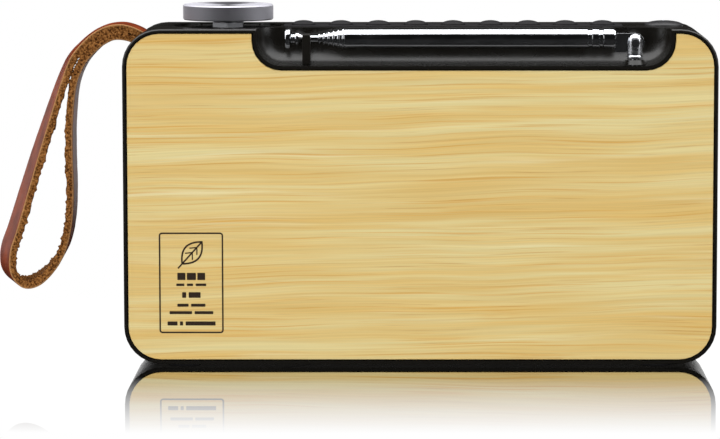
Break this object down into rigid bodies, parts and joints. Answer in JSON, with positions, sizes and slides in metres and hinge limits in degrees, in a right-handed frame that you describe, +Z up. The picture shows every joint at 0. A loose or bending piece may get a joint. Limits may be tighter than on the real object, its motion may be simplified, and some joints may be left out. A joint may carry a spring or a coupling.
{
  "type": "portable radio",
  "caption": "Slim portable radio with a bamboo back, telescopic antenna in a top trough, top keys and knob, and a leather wrist strap.",
  "frame": {"origin": "on the surface under the feet, below the middle of the overall box of case and hanging strap", "axes": "+Z up; the bamboo back and the stowed antenna face -Y and the loudspeaker faces +Y; +X runs from the strap end to the power key end"},
  "size_m": [0.2328, 0.042, 0.115],
  "materials": {
    "moulded_black": "fine texture, satin",
    "bamboo": "laminated strips, clear satin lacquer",
    "chrome_tube": "polished plate",
    "knob_aluminium": "fine turned, anodised",
    "key_rubber": "soft matt",
    "foot_rubber": "matt",
    "strap_leather": "smooth grain outside, raw suede inside and on the edges",
    "steel": "plated",
    "grille_cloth": "woven",
    "window": "clear over dark print, glossy",
    "circuit_board": "solder mask",
    "cell_wrap": "shrink wrap",
    "cone_paper": "pressed paper"
  },
  "bodies": {
    "case": {"cabinet": "moulded_black", "bamboo_back_panel": "bamboo", "front_frame": "moulded_black", "bamboo_front_panel": "bamboo", "speaker_grille": "grille_cloth", "display_window": "window", "display_module": "moulded_black", "speaker_basket": "steel", "speaker_cone": "cone_paper", "speaker_magnet": "steel", "main_board": "circuit_board", "key_board": "circuit_board", "port_board": "circuit_board", "battery_cell_1": "cell_wrap", "battery_cell_2": "cell_wrap", "battery_bracket": "moulded_black", "usb_port": "steel", "headphone_jack": "moulded_black", "encoder_body": "steel", "encoder_nut": "steel", "key_strip": "key_rubber", "antenna_foot": "moulded_black", "antenna_clip": "moulded_black", "strap_tail": "strap_leather", "strap_pin": "steel", "rubber_foot_1": "foot_rubber", "rubber_foot_2": "foot_rubber", "rubber_foot_3": "foot_rubber", "rubber_foot_4": "foot_rubber", "case_screw_1": "steel", "case_screw_2": "steel", "case_screw_3": "steel", "case_screw_4": "steel"},
    "strap": {"strap_loop": "strap_leather"},
    "knob": {"volume_knob": "knob_aluminium", "encoder_shaft": "steel"},
    "key_1": {"key_1": "key_rubber"},
    "key_2": {"key_2": "key_rubber"},
    "key_3": {"key_3": "key_rubber"},
    "key_4": {"key_4": "key_rubber"},
    "key_5": {"key_5": "key_rubber"},
    "key_6": {"key_6": "key_rubber"},
    "key_7": {"key_7": "key_rubber"},
    "key_8": {"key_8": "key_rubber"},
    "key_9": {"key_9": "key_rubber"},
    "power_key": {"power_key": "moulded_black"},
    "antenna_base": {"antenna_knuckle": "chrome_tube", "antenna_retainer": "steel", "pivot_screw": "steel"},
    "antenna_arm": {"antenna_tongue": "chrome_tube", "antenna_tube_1": "chrome_tube"},
    "antenna_section_2": {"antenna_tube_2": "chrome_tube"},
    "antenna_section_3": {"antenna_tube_3": "chrome_tube"},
    "antenna_section_4": {"antenna_tube_4": "chrome_tube"},
    "antenna_section_5": {"antenna_tube_5": "chrome_tube"},
    "antenna_section_6": {"antenna_tube_6": "chrome_tube"},
    "antenna_section_7": {"antenna_tube_7": "chrome_tube"}
  },
  "joints": [
    {"name": "strap_swing", "type": "hinge", "parent": "case", "child": "strap", "pos_m": [-0.07085, 0, 0.10555], "axis": [0, 1, 0], "range_deg": [-12, 65]},
    {"name": "knob_turn", "type": "hinge", "parent": "case", "child": "knob", "pos_m": [-0.0408, 0.002, 0.1125], "axis": [0, 0, 1], "continuous": true},
    {"name": "key_1_press", "type": "slide", "parent": "case", "child": "key_1", "axis": [0, 0, -1], "range_m": [0, 0.0006], "stiffness_N_per_m": 800, "springref_m": -0.0003},
    {"name": "key_2_press", "type": "slide", "parent": "case", "child": "key_2", "axis": [0, 0, -1], "range_m": [0, 0.0006], "stiffness_N_per_m": 800, "springref_m": -0.0003},
    {"name": "key_3_press", "type": "slide", "parent": "case", "child": "key_3", "axis": [0, 0, -1], "range_m": [0, 0.0006], "stiffness_N_per_m": 800, "springref_m": -0.0003},
    {"name": "key_4_press", "type": "slide", "parent": "case", "child": "key_4", "axis": [0, 0, -1], "range_m": [0, 0.0006], "stiffness_N_per_m": 800, "springref_m": -0.0003},
    {"name": "key_5_press", "type": "slide", "parent": "case", "child": "key_5", "axis": [0, 0, -1], "range_m": [0, 0.0006], "stiffness_N_per_m": 800, "springref_m": -0.0003},
    {"name": "key_6_press", "type": "slide", "parent": "case", "child": "key_6", "axis": [0, 0, -1], "range_m": [0, 0.0006], "stiffness_N_per_m": 800, "springref_m": -0.0003},
    {"name": "key_7_press", "type": "slide", "parent": "case", "child": "key_7", "axis": [0, 0, -1], "range_m": [0, 0.0006], "stiffness_N_per_m": 800, "springref_m": -0.0003},
    {"name": "key_8_press", "type": "slide", "parent": "case", "child": "key_8", "axis": [0, 0, -1], "range_m": [0, 0.0006], "stiffness_N_per_m": 800, "springref_m": -0.0003},
    {"name": "key_9_press", "type": "slide", "parent": "case", "child": "key_9", "axis": [0, 0, -1], "range_m": [0, 0.0006], "stiffness_N_per_m": 800, "springref_m": -0.0003},
    {"name": "power_key_press", "type": "slide", "parent": "case", "child": "power_key", "axis": [0, 0, -1], "range_m": [0, 0.0006], "stiffness_N_per_m": 800, "springref_m": -0.0003},
    {"name": "antenna_swivel", "type": "hinge", "parent": "case", "child": "antenna_base", "pos_m": [0.0899, -0.0162, 0.1036], "axis": [0, 0, 1], "range_deg": [0, 90], "deforming": ["antenna_clip"]},
    {"name": "antenna_fold", "type": "hinge", "parent": "antenna_base", "child": "antenna_arm", "pos_m": [0.0899, -0.0162, 0.1036], "axis": [0, 1, 0], "range_deg": [0, 90]},
    {"name": "antenna_slide_2", "type": "slide", "parent": "antenna_arm", "child": "antenna_section_2", "axis": [-1, 0, 0], "range_m": [0, 0.04]},
    {"name": "antenna_slide_3", "type": "slide", "parent": "antenna_section_2", "child": "antenna_section_3", "axis": [-1, 0, 0], "range_m": [0, 0.04]},
    {"name": "antenna_slide_4", "type": "slide", "parent": "antenna_section_3", "child": "antenna_section_4", "axis": [-1, 0, 0], "range_m": [0, 0.04]},
    {"name": "antenna_slide_5", "type": "slide", "parent": "antenna_section_4", "child": "antenna_section_5", "axis": [-1, 0, 0], "range_m": [0, 0.04]},
    {"name": "antenna_slide_6", "type": "slide", "parent": "antenna_section_5", "child": "antenna_section_6", "axis": [-1, 0, 0], "range_m": [0, 0.04]},
    {"name": "antenna_slide_7", "type": "slide", "parent": "antenna_section_6", "child": "antenna_section_7", "axis": [-1, 0, 0], "range_m": [0, 0.04]}
  ],
  "couplings": [
    {"joint": "antenna_slide_2", "follows": "antenna_fold", "m_per_rad": 0.025464},
    {"joint": "antenna_slide_3", "follows": "antenna_fold", "m_per_rad": 0.025464},
    {"joint": "antenna_slide_4", "follows": "antenna_fold", "m_per_rad": 0.025464},
    {"joint": "antenna_slide_5", "follows": "antenna_fold", "m_per_rad": 0.025464},
    {"joint": "antenna_slide_6", "follows": "antenna_fold", "m_per_rad": 0.025464},
    {"joint": "antenna_slide_7", "follows": "antenna_fold", "m_per_rad": 0.025464}
  ]
}
